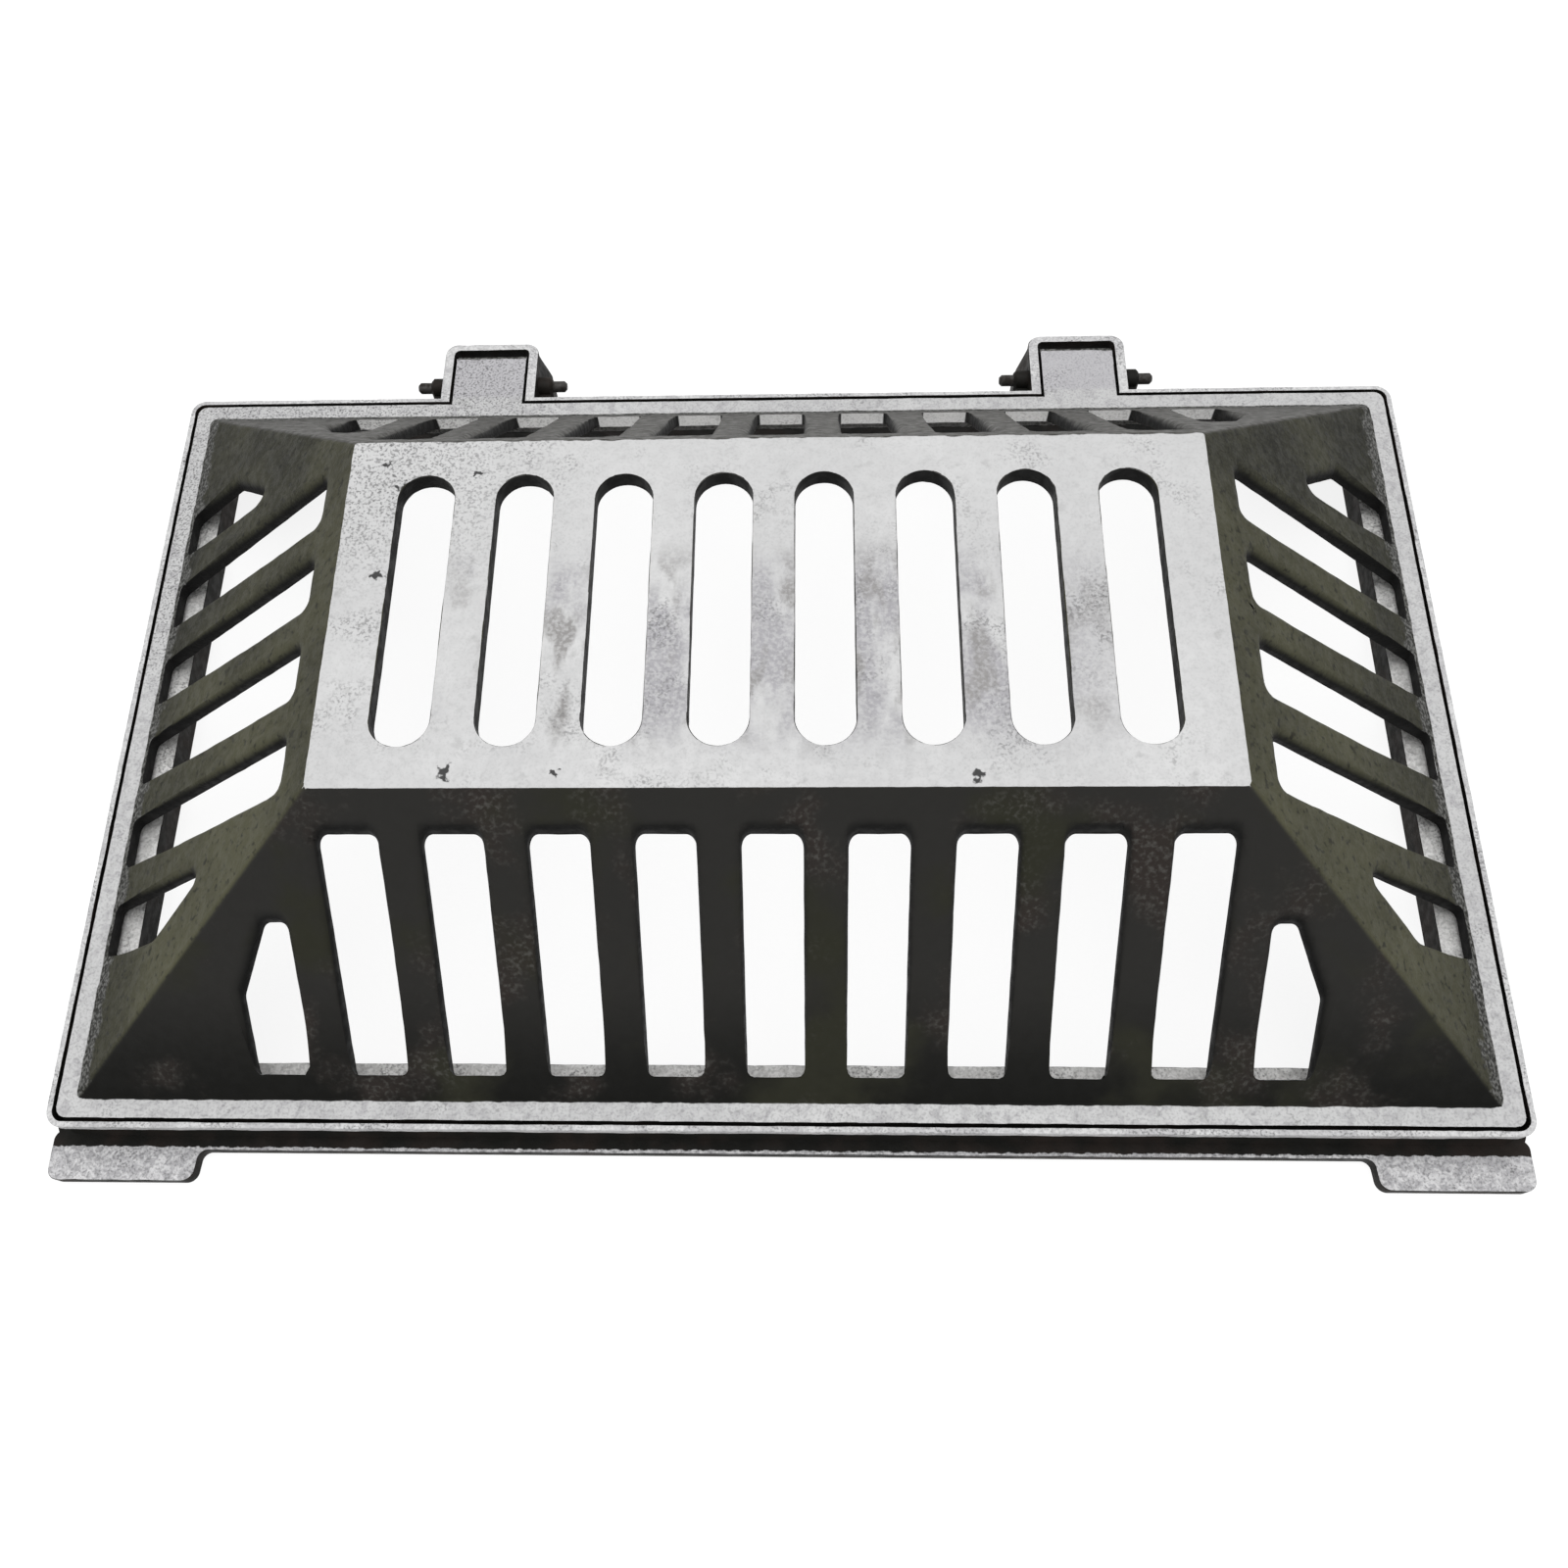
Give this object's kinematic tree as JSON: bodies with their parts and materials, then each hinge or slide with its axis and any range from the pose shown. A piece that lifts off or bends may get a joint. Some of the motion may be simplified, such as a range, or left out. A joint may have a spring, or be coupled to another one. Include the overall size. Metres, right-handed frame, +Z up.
{
  "type": "hinged raised drain grate",
  "caption": "Cast iron gully grate with a slotted hipped top, hinged at the back on pins in a flanged rectangular frame.",
  "frame": {"origin": "middle of the assembly's plan box, on the ground plane under the frame", "axes": "+X across the long side, +Y towards the hinge, +Z up"},
  "size_m": [0.76, 0.525, 0.163],
  "materials": {
    "frame_iron": "raw sand casting, bright level faces, dark walls",
    "grate_iron": "raw sand casting, worn bright top and rim, dark slopes",
    "pin_steel": "dull plain bar"
  },
  "bodies": {
    "frame": {"frame": "frame_iron", "hinge_pin_left": "pin_steel", "hinge_pin_right": "pin_steel"},
    "grate": {"grate": "grate_iron"}
  },
  "joints": [
    {"name": "grate_hinge", "type": "hinge", "parent": "frame", "child": "grate", "pos_m": [0, 0.23297, 0.02], "axis": [-1, 0, 0], "range_deg": [0, 100]}
  ]
}
